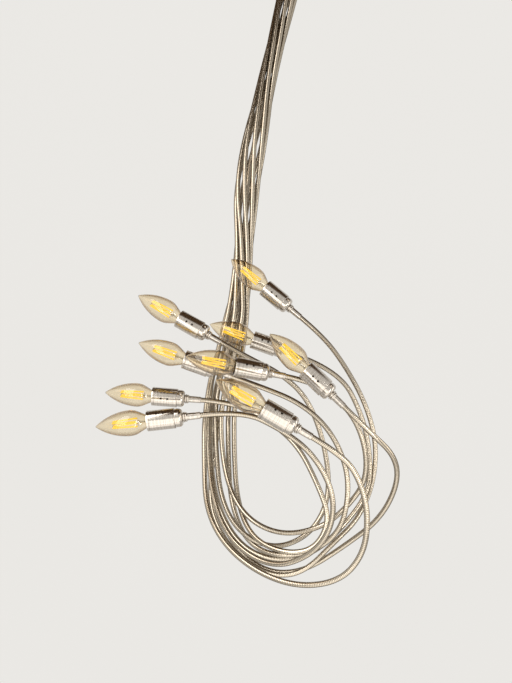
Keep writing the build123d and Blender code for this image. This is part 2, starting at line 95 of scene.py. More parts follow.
# From the bundle's foot through the loop to each holder's ferrule.
LOOPS = {
    1: (
        (-125, 20, -889), (-137, 20, -982), (-111, 12, -1044), (-71, 0, -1079), (-26, -8, -1096),
        (14, -15, -1085), (53, -22, -1046), (90, -26, -1012), (114, -28, -961), (121, -31, -901),
        (107, -36, -843), (78, -40, -786), (43, -42, -736), (7, -43, -705),
    ),
    2: (
        (-126, -4, -821), (-124, -8, -907), (-115, -24, -983), (-86, -34, -1032), (-36, -38, -1054),
        (12, -38, -1037), (40, -42, -999), (47, -50, -953), (36, -62, -889), (12, -76, -833),
        (-27, -86, -800), (-72, -91, -779), (-114, -92, -755),
    ),
    3: (
        (-106, -2, -829), (-105, -4, -915), (-100, -12, -990), (-75, -24, -1046), (-31, -48, -1065),
        (23, -62, -1056), (59, -80, -1026), (70, -92, -977), (66, -98, -931), (41, -102, -881),
        (0, -104, -846), (-50, -103, -825), (-98, -106, -808),
    ),
    4: (
        (-133, 8, -827), (-134, 8, -914), (-122, -2, -990), (-88, -12, -1049), (-37, -24, -1072),
        (20, -32, -1063), (68, -36, -1021), (105, -36, -974), (111, -34, -924), (101, -36, -859),
        (65, -44, -789), (1, -46, -766),
    ),
    5: (
        (-117, -12, -830), (-115, -14, -911), (-99, -40, -976), (-68, -52, -1016), (-20, -55, -1034),
        (35, -58, -1022), (68, -72, -995), (95, -90, -959), (94, -112, -912), (73, -128, -863),
        (26, -132, -822), (-21, -140, -814),
    ),
    6: (
        (-134, 34, -888), (-130, 44, -982), (-96, 34, -1055), (-44, 16, -1092), (12, 4, -1088),
        (70, -22, -1050), (118, -60, -1011), (140, -95, -962), (132, -130, -925), (92, -159, -893),
        (58, -160, -859),
    ),
    7: (
        (-129, -16, -775), (-142, -18, -854), (-140, -32, -927), (-135, -62, -995), (-107, -92, -1046),
        (-59, -120, -1082), (-4, -145, -1098), (48, -170, -1088), (77, -186, -1053), (82, -201, -1006),
        (72, -213, -963), (50, -224, -931), (9, -228, -907),
    ),
    8: (
        (-96, -8, -829), (-96, -8, -907), (-91, -22, -983), (-69, -50, -1038), (-21, -74, -1059),
        (22, -85, -1052), (43, -94, -1010), (25, -94, -960), (-1, -88, -907), (-42, -80, -870),
        (-94, -70, -842), (-144, -70, -838),
    ),
    9: (
        (-139, -4, -837), (-136, -2, -914), (-125, -34, -990), (-94, -66, -1048), (-38, -95, -1077),
        (13, -120, -1059), (40, -145, -1023), (42, -165, -975), (14, -176, -924), (-30, -178, -891),
        (-81, -176, -867), (-137, -174, -873),
    ),
}


def mm(millimetres):
    """Millimetres in metres."""
    return millimetres / 1000


def linear(hex_colour):
    """An sRGB hex colour as linear RGBA."""
    parts = [int(hex_colour[i : i + 2], 16) / 255 for i in (1, 3, 5)]
    return tuple(c / 12.92 if c <= 0.04045 else ((c + 0.055) / 1.055) ** 2.4 for c in parts) + (1.0,)


# Settings that a user would change


class HoseSettings(bpy.types.PropertyGroup):
    """The flexible hoses of the arms. The real wire's ribs are about 1.6 mm apart and are drawn coarser, so
    that they show."""

    radius: FloatProperty(
        name="Radius", description="Outer radius over the ribs", default=0.0038, unit="LENGTH"
    )
    rib_pitch: FloatProperty(
        name="Rib pitch", description="Distance from rib to rib", default=0.0024, unit="LENGTH"
    )
    rib_depth: FloatProperty(
        name="Rib depth", description="Depth of the grooves", default=0.00008, unit="LENGTH"
    )
    neck: FloatProperty(
        name="Neck", description="Bending length before a holder", default=0.022, unit="LENGTH"
    )
    facets: IntProperty(name="Facets", description="Sides of the hose's section", default=12, min=6)
    crest: FloatVectorProperty(
        name="Crest colour", description="Nickel on the ribs",
        subtype="COLOR", size=4, default=linear("#C6BCAC"),
    )
    # The groove colour is darker than the crest as painted shade in the grooves.
    groove: FloatVectorProperty(
        name="Groove colour", description="Nickel in the grooves",
        subtype="COLOR", size=4, default=linear("#8A7F6F"),
    )


class HolderSettings(bpy.types.PropertyGroup):
    """The turned lampholders."""

    length: FloatProperty(
        name="Length", description="Ferrule's end to mouth", default=0.0724, unit="LENGTH"
    )
    facets: IntProperty(name="Facets", description="Sides of the turned pieces", default=64, min=24)
    colour: FloatVectorProperty(
        name="Colour", description="Satin nickel",
        subtype="COLOR", size=4, default=linear("#D8D1C8"),
    )


class BulbSettings(bpy.types.PropertyGroup):
    """The candle bulbs."""

    wall: FloatProperty(
        name="Wall", description="Thickness of the blown glass", default=0.0008, unit="LENGTH"
    )
    facets: IntProperty(name="Facets", description="Sides of the envelope", default=80, min=24)
    phosphor: FloatVectorProperty(
        name="Phosphor colour", description="Light sticks",
        subtype="COLOR", size=4, default=linear("#FFDC40"),
    )
    glass: FloatVectorProperty(
        name="Glass tint", description="Clear glass",
        subtype="COLOR", size=4, default=linear("#FBF3E2"),
    )


class FittingSettings(bpy.types.PropertyGroup):
    """The canopy and what is in it."""

    colour: FloatVectorProperty(
        name="Colour", description="Brushed nickel",
        subtype="COLOR", size=4, default=linear("#D2C3AE"),
    )


class StageSettings(bpy.types.PropertyGroup):
    """The studio round the light."""

    floor_height: FloatProperty(
        name="Floor height", description="Floor below the ceiling", default=-2.6, unit="LENGTH"
    )
    wall_top: FloatProperty(name="Wall top", description="Top of the backdrop", default=5.0, unit="LENGTH")
    radius: FloatProperty(
        name="Radius", description="Radius of the round backdrop", default=3.2, unit="LENGTH"
    )
    paper: FloatVectorProperty(
        name="Paper colour", description="Backdrop and floor",
        subtype="COLOR", size=4, default=linear("#ECEAE6"),
    )
    upper: FloatVectorProperty(
        name="Upper colour", description="Dim room overhead",
        subtype="COLOR", size=4, default=linear("#54402C"),
    )


# Nodes and materials


def add_node(tree, kind, inputs=None, **settings):
    """Adds one node, with its settings, and its inputs as values or as links from other nodes' sockets."""
    made = tree.nodes.new(kind)
    for name, value in settings.items():
        setattr(made, name, value)
    for name, value in (inputs or {}).items():
        if isinstance(value, bpy.types.NodeSocket):
            tree.links.new(value, made.inputs[name])
        else:
            made.inputs[name].default_value = value
    return made


def start_material(name):
    """A new material, its emptied node tree, and the coordinates that every finish here follows."""
    made = bpy.data.materials.new(name)
    made.use_nodes = True
    tree = made.node_tree
    tree.nodes.clear()
    return made, tree, add_node(tree, "ShaderNodeTexCoord")


def wound_nickel(settings):
    """Nickel-plated gooseneck: round steel wire wound tight, so each rib catches the light and each groove is
    rougher and coloured darker, as painted shade."""
    made, tree, place = start_material("nickel_plated_wound_steel")
    along = add_node(tree, "ShaderNodeSeparateXYZ", {0: place.outputs["UV"]})
    # The UV map counts one unit per rib, so this is 0 in a groove and 1 on a crest.
    crest = add_node(tree, "ShaderNodeMath", {0: along.outputs["Y"], 1: 0.5}, operation="PINGPONG")
    height = add_node(tree, "ShaderNodeMapRange", {0: crest.outputs[0], 1: 0.04, 2: 0.2})
    # Plating and grime vary over about 20 mm.
    cloud = add_node(
        tree, "ShaderNodeTexNoise", {"Vector": place.outputs["Object"], "Scale": 50.0, "Detail": 3.0}
    )
    grime = add_node(tree, "ShaderNodeMath", {0: cloud.outputs[0], 1: 0.35}, operation="MULTIPLY")
    shade = add_node(
        tree,
        "ShaderNodeMath",
        {0: height.outputs[0], 1: grime.outputs[0]},
        operation="SUBTRACT",
        use_clamp=True,
    )
    # Mixing towards the groove colour in the grooves paints shade into them.
    colour = add_node(
        tree,
        "ShaderNodeMix",
        {"Factor": shade.outputs[0], 6: tuple(settings.groove), 7: tuple(settings.crest)},
        data_type="RGBA",
    )
    roughness = add_node(tree, "ShaderNodeMapRange", {0: shade.outputs[0], 3: 0.2, 4: 0.12})
    # The dark specular tint paints the hose's edges darker, a painted dark reflection at its outline.
    surface = add_node(
        tree,
        "ShaderNodeBsdfPrincipled",
        {
            "Base Color": colour.outputs[2],
            "Metallic": 1.0,
            "Roughness": roughness.outputs[0],
            "Specular Tint": linear("#4A3B2C"),
        },
    )
    add_node(tree, "ShaderNodeOutputMaterial", {"Surface": surface.outputs[0]})
    return made


def turned_nickel(settings):
    """Satin nickel over brass turned on a lathe: rings from the tool run round the axis and stretch each
    highlight along the barrel."""
    made, tree, place = start_material("satin_nickel_turned")
    axis = add_node(tree, "ShaderNodeSeparateXYZ", {0: place.outputs["Object"]})
    rings = add_node(tree, "ShaderNodeCombineXYZ", {"Z": axis.outputs["Z"]})
    # The tool's feed leaves rings about 0.1 mm apart. They are drawn about 1.4 mm apart so that they show.
    feed = add_node(tree, "ShaderNodeTexNoise", {"Vector": rings.outputs[0], "Scale": 700.0, "Detail": 2.0})
    # Handling marks, about 6 mm across.
    wear = add_node(
        tree, "ShaderNodeTexNoise", {"Vector": place.outputs["Object"], "Scale": 170.0, "Detail": 4.0}
    )
    tone = add_node(tree, "ShaderNodeMapRange", {0: feed.outputs[0], 1: 0.35, 2: 0.62, 3: 0.62, 4: 1.0})
    worn = add_node(tree, "ShaderNodeMapRange", {0: wear.outputs[0], 1: 0.35, 2: 0.75, 3: 0.9, 4: 1.0})
    light = add_node(tree, "ShaderNodeMath", {0: tone.outputs[0], 1: worn.outputs[0]}, operation="MULTIPLY")
    colour = add_node(
        tree,
        "ShaderNodeMix",
        {"Factor": light.outputs[0], 6: linear("#5B4A38"), 7: tuple(settings.colour)},
        data_type="RGBA",
    )
    roughness = add_node(tree, "ShaderNodeMapRange", {0: wear.outputs[0], 1: 0.3, 2: 0.8, 3: 0.15, 4: 0.24})
    bump = add_node(
        tree, "ShaderNodeBump", {"Strength": 0.1, "Distance": mm(0.05), "Height": feed.outputs[0]}
    )
    surface = add_node(
        tree,
        "ShaderNodeBsdfPrincipled",
        {
            "Base Color": colour.outputs[2],
            "Metallic": 1.0,
            "Roughness": roughness.outputs[0],
            "Normal": bump.outputs[0],
        },
    )
    add_node(tree, "ShaderNodeOutputMaterial", {"Surface": surface.outputs[0]})
    return made


def brushed_nickel(settings):
    """Satin nickel on spun steel, brushed on its lathe, which leaves fine circles round the axis."""
    made, tree, place = start_material("satin_nickel_spun")
    split = add_node(tree, "ShaderNodeSeparateXYZ", {0: place.outputs["Object"]})
    flat = add_node(tree, "ShaderNodeCombineXYZ", {"X": split.outputs["X"], "Y": split.outputs["Y"]})
    radius = add_node(tree, "ShaderNodeVectorMath", {0: flat.outputs[0]}, operation="LENGTH")
    circles = add_node(
        tree, "ShaderNodeCombineXYZ", {"X": radius.outputs["Value"], "Z": split.outputs["Z"]}
    )
    # Brush lines are about 0.15 mm apart. They are drawn about 0.8 mm apart so that they show.
    brush = add_node(
        tree, "ShaderNodeTexNoise", {"Vector": circles.outputs[0], "Scale": 1200.0, "Detail": 2.0}
    )
    # The finish is duller in clouds about 25 mm wide.
    cloud = add_node(
        tree, "ShaderNodeTexNoise", {"Vector": place.outputs["Object"], "Scale": 40.0, "Detail": 3.0}
    )
    tone = add_node(tree, "ShaderNodeMapRange", {0: brush.outputs[0], 1: 0.3, 2: 0.7, 3: 0.8, 4: 1.0})
    colour = add_node(
        tree,
        "ShaderNodeMix",
        {"Factor": tone.outputs[0], 6: linear("#6B5A46"), 7: tuple(settings.colour)},
        data_type="RGBA",
    )
    roughness = add_node(
        tree, "ShaderNodeMapRange", {0: cloud.outputs[0], 1: 0.3, 2: 0.7, 3: 0.26, 4: 0.36}
    )
    bump = add_node(
        tree, "ShaderNodeBump", {"Strength": 0.2, "Distance": mm(0.05), "Height": brush.outputs[0]}
    )
    surface = add_node(
        tree,
        "ShaderNodeBsdfPrincipled",
        {
            "Base Color": colour.outputs[2],
            "Metallic": 1.0,
            "Roughness": roughness.outputs[0],
            "Normal": bump.outputs[0],
        },
    )
    add_node(tree, "ShaderNodeOutputMaterial", {"Surface": surface.outputs[0]})
    return made


def bright_zinc():
    """Zinc-plated steel: cool grey, with the faint spangle of the plating, about 2 mm across."""
    made, tree, place = start_material("zinc_plated_steel")
    spangle = add_node(tree, "ShaderNodeTexVoronoi", {"Vector": place.outputs["Object"], "Scale": 500.0})
    grey = add_node(tree, "ShaderNodeSeparateColor", {0: spangle.outputs["Color"]})
    colour = add_node(
        tree,
        "ShaderNodeMix",
        {"Factor": grey.outputs[0], 6: linear("#A9ADB2"), 7: linear("#C6C8CA")},
        data_type="RGBA",
    )
    roughness = add_node(tree, "ShaderNodeMapRange", {0: grey.outputs[1], 3: 0.28, 4: 0.42})
    surface = add_node(
        tree,
        "ShaderNodeBsdfPrincipled",
        {"Base Color": colour.outputs[2], "Metallic": 1.0, "Roughness": roughness.outputs[0]},
    )
    add_node(tree, "ShaderNodeOutputMaterial", {"Surface": surface.outputs[0]})
    return made


def moulded_plastic(name, dark, light, roughness):
    """Moulded plastic: a fine spark-eroded grain, about 0.5 mm across, and slight flow marks, about 11 mm
    wide."""
    made, tree, place = start_material(name)
    flow = add_node(
        tree, "ShaderNodeTexNoise", {"Vector": place.outputs["Object"], "Scale": 90.0, "Detail": 2.0}
    )
    grain = add_node(
        tree, "ShaderNodeTexNoise", {"Vector": place.outputs["Object"], "Scale": 2000.0, "Detail": 1.0}
    )
    colour = add_node(
        tree,
        "ShaderNodeMix",
        {"Factor": flow.outputs[0], 6: linear(dark), 7: linear(light)},
        data_type="RGBA",
    )
    bump = add_node(
        tree, "ShaderNodeBump", {"Strength": 0.3, "Distance": mm(0.05), "Height": grain.outputs[0]}
    )
    surface = add_node(
        tree,
        "ShaderNodeBsdfPrincipled",
        {"Base Color": colour.outputs[2], "Roughness": roughness, "Normal": bump.outputs[0], "IOR": 1.5},
    )
    add_node(tree, "ShaderNodeOutputMaterial", {"Surface": surface.outputs[0]})
    return made


def rolled_cap_metal():
    """Nickel-plated brass rolled into a screw cap: bright, with warmer stains about 3 mm wide where the
    brass shows through."""
    made, tree, place = start_material("nickel_plated_rolled_brass")
    stain = add_node(
        tree, "ShaderNodeTexNoise", {"Vector": place.outputs["Object"], "Scale": 300.0, "Detail": 4.0}
    )
    colour = add_node(
        tree,
        "ShaderNodeMix",
        {"Factor": stain.outputs[0], 6: linear("#A58F6B"), 7: linear("#D8D2C6")},
        data_type="RGBA",
    )
    surface = add_node(
        tree,
        "ShaderNodeBsdfPrincipled",
        {"Base Color": colour.outputs[2], "Metallic": 1.0, "Roughness": 0.26},
    )
    add_node(tree, "ShaderNodeOutputMaterial", {"Surface": surface.outputs[0]})
    return made


def blown_glass(settings):
    """Clear soda-lime glass blown in a mould: smooth, with slow ripples, about 6 mm wide and 18 mm
    long, that bend the highlights into streaks."""
    made, tree, place = start_material("clear_blown_glass")
    stretch = add_node(
        tree, "ShaderNodeMapping", {"Vector": place.outputs["Object"], "Scale": (1.0, 1.0, 0.35)}
    )
    ripple = add_node(
        tree, "ShaderNodeTexNoise", {"Vector": stretch.outputs[0], "Scale": 160.0, "Detail": 1.0}
    )
    bump = add_node(
        tree, "ShaderNodeBump", {"Strength": 0.2, "Distance": mm(0.5), "Height": ripple.outputs[0]}
    )
    # Towards its outline the glass is tinted dark warm brown by where the eye looks. A little of this is the
    # longer path through the wall; most of it is painted shade and painted reflection along the outline.
    slant = add_node(tree, "ShaderNodeLayerWeight", {"Blend": 0.5})
    depth = add_node(tree, "ShaderNodeMapRange", {0: slant.outputs["Facing"], 1: 0.28, 2: 0.78})
    tint = add_node(
        tree,
        "ShaderNodeMix",
        {"Factor": depth.outputs[0], 6: tuple(settings.glass), 7: linear("#8C6428")},
        data_type="RGBA",
    )
    surface = add_node(
        tree,
        "ShaderNodeBsdfPrincipled",
        {
            "Base Color": tint.outputs[2],
            "Roughness": 0.0,
            "IOR": 1.51,
            "Transmission Weight": 1.0,
            "Normal": bump.outputs[0],
        },
    )
    add_node(tree, "ShaderNodeOutputMaterial", {"Surface": surface.outputs[0]})
    return made


def stem_glass():
    """Lead-free stem glass, pressed hot round the wires: clear, with seed bubbles about 1.1 mm apart."""
    made, tree, place = start_material("clear_stem_glass")
    seeds = add_node(tree, "ShaderNodeTexVoronoi", {"Vector": place.outputs["Object"], "Scale": 900.0})
    bump = add_node(
        tree, "ShaderNodeBump", {"Strength": 0.4, "Distance": mm(0.2), "Height": seeds.outputs[0]}
    )
    surface = add_node(
        tree,
        "ShaderNodeBsdfPrincipled",
        {
            "Base Color": linear("#F4F4F2"),
            "Roughness": 0.05,
            "IOR": 1.56,
            "Transmission Weight": 1.0,
            "Normal": bump.outputs[0],
        },
    )
    add_node(tree, "ShaderNodeOutputMaterial", {"Surface": surface.outputs[0]})
    return made


def phosphor_silicone(settings):
    """Silicone filled with yellow phosphor, cast over a row of tiny chips: rubbery and opaque. It gives off
    its own colour as painted light, a glow that keeps it bright inside the glass. The chips show as darker
    beads about 1.6 mm apart."""
    made, tree, place = start_material("phosphor_silicone")
    along = add_node(tree, "ShaderNodeSeparateXYZ", {0: place.outputs["UV"]})
    bead = add_node(tree, "ShaderNodeMath", {0: along.outputs["Y"], 1: 0.5}, operation="PINGPONG")
    chip = add_node(tree, "ShaderNodeMapRange", {0: bead.outputs[0], 2: 0.3})
    # The phosphor's grains are far finer, and are drawn about 0.7 mm across so that they show.
    grain = add_node(
        tree, "ShaderNodeTexNoise", {"Vector": place.outputs["Object"], "Scale": 1500.0, "Detail": 2.0}
    )
    colour = add_node(
        tree,
        "ShaderNodeMix",
        {"Factor": chip.outputs[0], 6: linear("#F0BC28"), 7: tuple(settings.phosphor)},
        data_type="RGBA",
    )
    bump = add_node(
        tree, "ShaderNodeBump", {"Strength": 0.4, "Distance": mm(0.1), "Height": grain.outputs[0]}
    )
    surface = add_node(
        tree,
        "ShaderNodeBsdfPrincipled",
        {
            "Base Color": colour.outputs[2],
            "Roughness": 0.45,
            "Normal": bump.outputs[0],
            # The emission is painted light: the sticks glow in their own colour.
            "Emission Color": colour.outputs[2],
            "Emission Strength": 0.75,
        },
    )
    add_node(tree, "ShaderNodeOutputMaterial", {"Surface": surface.outputs[0]})
    return made


def nickel_wire():
    """Drawn nickel-iron wire: bright, with fine marks from the die. They are about 0.1 mm apart and are
    drawn about 0.4 mm apart, so that they show."""
    made, tree, place = start_material("drawn_nickel_wire")
    dies = add_node(
        tree, "ShaderNodeTexNoise", {"Vector": place.outputs["Object"], "Scale": 2500.0, "Detail": 1.0}
    )
    roughness = add_node(tree, "ShaderNodeMapRange", {0: dies.outputs[0], 3: 0.15, 4: 0.4})
    surface = add_node(
        tree,
        "ShaderNodeBsdfPrincipled",
        {"Base Color": linear("#C9C5BC"), "Metallic": 1.0, "Roughness": roughness.outputs[0]},
    )
    add_node(tree, "ShaderNodeOutputMaterial", {"Surface": surface.outputs[0]})
    return made


def blackened_steel():
    """Small screws of blackened steel: dark, with patches of oil about 0.8 mm wide that shine more."""
    made, tree, place = start_material("blackened_steel")
    oil = add_node(
        tree, "ShaderNodeTexNoise", {"Vector": place.outputs["Object"], "Scale": 1200.0, "Detail": 2.0}
    )
    roughness = add_node(tree, "ShaderNodeMapRange", {0: oil.outputs[0], 3: 0.25, 4: 0.55})
    surface = add_node(
        tree,
        "ShaderNodeBsdfPrincipled",
        {"Base Color": linear("#3A342E"), "Metallic": 1.0, "Roughness": roughness.outputs[0]},
    )
    add_node(tree, "ShaderNodeOutputMaterial", {"Surface": surface.outputs[0]})
    return made


def paper_shade(tree, place, settings, scale, detail):
    """The colour of pale paper, which is a little darker in soft clouds."""
    fibre = add_node(
        tree, "ShaderNodeTexNoise", {"Vector": place.outputs["Object"], "Scale": scale, "Detail": detail}
    )
    tone = add_node(tree, "ShaderNodeMapRange", {0: fibre.outputs[0], 3: 0.97, 4: 1.0})
    shade = add_node(
        tree,
        "ShaderNodeMix",
        {"Factor": tone.outputs[0], 6: linear("#000000"), 7: tuple(settings.paper)},
        data_type="RGBA",
    )
    return shade.outputs[2]


def matt_paper(tree, colour, plain_share):
    """Finishes a matt paper. The eye, metal and glass see a share of its plain colour, whatever light falls
    on it, and the rest of its shade takes light and shadow."""
    matt = add_node(tree, "ShaderNodeBsdfDiffuse", {"Color": colour})
    plain = add_node(tree, "ShaderNodeEmission", {"Color": colour, "Strength": 1.0})
    path = add_node(tree, "ShaderNodeLightPath")
    seen = path.outputs["Is Camera Ray"]
    for other in ("Is Glossy Ray", "Is Transmission Ray"):
        either = add_node(tree, "ShaderNodeMath", {0: seen, 1: path.outputs[other]}, operation="MAXIMUM")
        seen = either.outputs[0]
    share = add_node(tree, "ShaderNodeMath", {0: seen, 1: plain_share}, operation="MULTIPLY")
    mixed = add_node(
        tree, "ShaderNodeMixShader", {0: share.outputs[0], 1: matt.outputs[0], 2: plain.outputs[0]}
    )
    add_node(tree, "ShaderNodeOutputMaterial", {"Surface": mixed.outputs[0]})


def backdrop_paper(settings):
    """Matt paper, pale all round, that fades at its top edge into the dim room overhead."""
    made, tree, place = start_material("backdrop_paper")
    split = add_node(tree, "ShaderNodeSeparateXYZ", {0: place.outputs["Object"]})
    # Its clouds are about 2 m wide.
    pale = paper_shade(tree, place, settings, 0.5, 2.0)
    # The top edge climbs slowly from the viewer's side to the far side, and steeply behind the light. Over
    # half a metre the paper fades into the dim room.
    near, far = -settings.radius, settings.radius
    near_edge, far_edge = 1.2, 2.2
    climb_from, climb_to = 0.2, 2.2
    climb_low, climb_high = 1.0, 4.4
    fade_height = 0.5
    slow = add_node(
        tree, "ShaderNodeMapRange", {0: split.outputs["Y"], 1: near, 2: far, 3: near_edge, 4: far_edge}
    )
    steep = add_node(
        tree,
        "ShaderNodeMapRange",
        {0: split.outputs["Y"], 1: climb_from, 2: climb_to, 3: climb_low, 4: climb_high},
    )
    edge = add_node(tree, "ShaderNodeMath", {0: slow.outputs[0], 1: steep.outputs[0]}, operation="MAXIMUM")
    above = add_node(
        tree, "ShaderNodeMath", {0: split.outputs["Z"], 1: edge.outputs[0]}, operation="SUBTRACT"
    )
    fade = add_node(
        tree, "ShaderNodeMapRange", {0: above.outputs[0], 2: fade_height}, interpolation_type="SMOOTHSTEP"
    )
    colour = add_node(
        tree,
        "ShaderNodeMix",
        {"Factor": fade.outputs[0], 6: pale, 7: tuple(settings.upper)},
        data_type="RGBA",
    )
    matt_paper(tree, colour.outputs[2], 1.0)
    return made


def floor_paper(settings):
    """The same paper, laid flat. It keeps the light's shadow. Its clouds are about 0.7 m wide."""
    made, tree, place = start_material("floor_paper")
    matt_paper(tree, paper_shade(tree, place, settings, 1.5, 3.0), 0.85)
    return made


# Meshes


def smooth_mesh(name, points, faces, sharp_angle):
    """A smooth-shaded mesh that keeps the edges sharper than an angle crisp."""
    mesh = bpy.data.meshes.new(name)
    mesh.from_pydata([tuple(p) for p in points], [], faces)
    mesh.validate()
    mesh.shade_smooth()
    mesh.set_sharp_from_angle(angle=math.radians(sharp_angle))
    return mesh


def turned_mesh(name, outline, facets, closed=False, relief=None):
    """Turns an outline of (radius, height) points, in millimetres, about Z. A closed outline is a hollow
    piece. relief may change a radius by its angle and height, as for a thread."""
    points, rings = [], []
    for radius, height in outline:
        if radius == 0:
            rings.append([len(points)] * facets)
            points.append((0.0, 0.0, mm(height)))
            continue
        rings.append(list(range(len(points), len(points) + facets)))
        for step in range(facets):
            angle = 2 * math.pi * step / facets
            out = mm(relief(radius, height, angle) if relief else radius)
            points.append((out * math.cos(angle), out * math.sin(angle), mm(height)))
    faces = []
    follows = rings[1:] + rings[:1] if closed else rings[1:]
    for lower, upper in zip(rings, follows):
        for step in range(facets):
            after = (step + 1) % facets
            corners = dict.fromkeys((lower[step], lower[after], upper[after], upper[step]))
            if len(corners) > 2:
                faces.append(list(corners))
    return smooth_mesh(name, points, faces, CRISP_EDGE)


def swept_mesh(name, centres, radii, facets, counts, sharp_angle=80):
    """A round tube through centres, with a radius at each, closed at both ends. counts go into the UV map's
    second value, so that a material can follow the tube's length."""
    centres = np.asarray(centres, float)
    ways = np.gradient(centres, axis=0)
    ways /= np.linalg.norm(ways, axis=1)[:, None]
    side = np.cross(ways[0], (0.0, 0.0, 1.0) if abs(ways[0][2]) < 0.9 else (1.0, 0.0, 0.0))
    points = []
    angles = 2 * np.pi * np.arange(facets) / facets
    for centre, way, radius in zip(centres, ways, radii):
        side = side - way * side.dot(way)
        side /= np.linalg.norm(side)
        up = np.cross(way, side)
        points.append(centre + radius * (np.outer(np.cos(angles), side) + np.outer(np.sin(angles), up)))
    points = np.concatenate(points)
    faces, marks = [], []
    for ring in range(len(centres) - 1):
        for step in range(facets):
            after = (step + 1) % facets
            low, high = ring * facets, (ring + 1) * facets
            faces.append((low + step, low + after, high + after, high + step))
            left, right = step / facets, (step + 1) / facets
            marks += [
                (left, counts[ring]),
                (right, counts[ring]),
                (right, counts[ring + 1]),
                (left, counts[ring + 1]),
            ]
    last = len(points) - facets
    faces += [tuple(reversed(range(facets))), tuple(range(last, len(points)))]
    marks += [(0.0, counts[0])] * facets + [(0.0, counts[-1])] * facets
    mesh = smooth_mesh(name, points, faces, sharp_angle)
    layer = mesh.uv_layers.new(name="length")
    layer.data.foreach_set("uv", np.asarray(marks, np.float32).ravel())
    return mesh


def joined_mesh(name, meshes):
    """One mesh of several."""
    placed = []
    for mesh in meshes:
        piece = bpy.data.objects.new(name, mesh)
        bpy.context.scene.collection.objects.link(piece)
        placed.append(piece)
    with bpy.context.temp_override(active_object=placed[0], selected_editable_objects=placed):
        bpy.ops.object.join()
    joined = placed[0].data
    bpy.data.objects.remove(placed[0])
    joined.name = name
    return joined


def bored_mesh(mesh, cutters):
    """The mesh with each cutter taken out of it."""
    whole = bpy.data.objects.new("bored", mesh)
    bpy.context.scene.collection.objects.link(whole)
    tools = []
    for cutter in cutters:
        tool = bpy.data.objects.new("cutter", cutter)
        bpy.context.scene.collection.objects.link(tool)
        hole = whole.modifiers.new("hole", "BOOLEAN")
        hole.operation = "DIFFERENCE"
        hole.solver = "EXACT"
        hole.object = tool
        tools.append(tool)
    depsgraph = bpy.context.evaluated_depsgraph_get()
    bored = bpy.data.meshes.new_from_object(whole.evaluated_get(depsgraph))
    for used in [whole, *tools]:
        bpy.data.objects.remove(used)
    bored.name = mesh.name
    bored.shade_smooth()
    bored.set_sharp_from_angle(angle=math.radians(CRISP_EDGE))
    return bored


def put(name, mesh, material, body, matrix=None, stands_for=()):
    """Places a piece in the scene, on its body."""
    piece = bpy.data.objects.new(name, mesh)
    bpy.context.scene.collection.objects.link(piece)
    if not mesh.materials:
        mesh.materials.append(material)
    if matrix is not None:
        piece.matrix_world = matrix
    if body:
        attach(piece, body)
    if stands_for:
        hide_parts(*stands_for)
    return piece


def dress(node_name, material):
    """Gives a CAD node that stays its material."""
    node = frame["nodes"][node_name]
    node.data.materials.clear()
    node.data.materials.append(material)


# Where things are


def holder_place(arm):
    """A holder's own place: origin at its mouth, +Z out of the mouth, +X to the viewer."""
    turn = joints[f"bulb_{arm}_turn"]
    out = Vector(turn["axis"]).normalized()
    across = Vector(joints[f"head_{arm}_bend"]["axis"])
    across = (across - out * across.dot(out)).normalized()
    turned = Matrix((across, out.cross(across), out)).transposed().to_4x4()
    return Matrix.Translation(Vector(turn["pos_m"])) @ turned


def ring_point(arm, height, side, ring, station):
    """Where an arm passes a station of the twisted bundle, in millimetres."""
    if arm == MIDDLE_ARM:
        return (side, 0.0, height)
    angle = math.radians(RING_ANGLES[arm] + STATION_TWIST * station)
    return (side + ring * math.cos(angle), ring * math.sin(angle), height)


def arm_points(arm):
    """The places that an arm runs through, from the hub to its holder."""
    last = len(STATIONS)
    points = [ring_point(arm, height, 0.0, HUB_RING, -last) for height in HUB_HEIGHTS]
    for number, (height, side, ring) in enumerate(STATIONS):
        points.append(ring_point(arm, height, side, ring, number + 1 - last))
    return [tuple(mm(c) for c in point) for point in (*points, *LOOPS[arm])]


def smooth_line(points):
    """Points along the smooth NURBS line that has these places as its control points."""
    curve = bpy.data.curves.new("line", "CURVE")
    curve.dimensions = "3D"
    curve.resolution_u = 24
    spline = curve.splines.new("NURBS")
    spline.points.add(len(points) - 1)
    for control, point in zip(spline.points, points):
        control.co = (*point, 1.0)
    spline.order_u = 3
    spline.use_endpoint_u = True
    holder = bpy.data.objects.new("line", curve)
    mesh = bpy.data.meshes.new_from_object(holder)
    line = np.array([v.co for v in mesh.vertices], float)
    bpy.data.objects.remove(holder)
    bpy.data.meshes.remove(mesh)
    bpy.data.curves.remove(curve)
    return line


def point_at(line, lengths, distance):
    """The places at these distances along a line."""
    return np.stack([np.interp(distance, lengths, line[:, i]) for i in range(3)], axis=1)


def ribbed_hose(name, line, lengths, start, end, settings):
    """A stretch of wound hose: in each rib's length a groove and two rings that carry the crest."""
    pitch = settings.rib_pitch
    first, last = start / pitch, end / pitch
    # Each ring's place in its rib, as a share of the pitch, and its depth, as a share of the groove's.
    shares = ((0.0, 1.0), (0.3, 0.0), (0.7, 0.0))
    clear = 0.1
    rings = [(rib + share, depth) for rib in range(int(first), int(last) + 1) for share, depth in shares]
    rings = [ring for ring in rings if first + clear < ring[0] < last - clear]
    rings = [(first, 0.5), *rings, (last, 0.5)]
    distances = np.array([place for place, depth in rings]) * pitch
    radii = [settings.radius - settings.rib_depth * depth for place, depth in rings]
    counts = [place for place, depth in rings]
    return swept_mesh(name, point_at(line, lengths, distances), radii, settings.facets, counts)


# The pieces


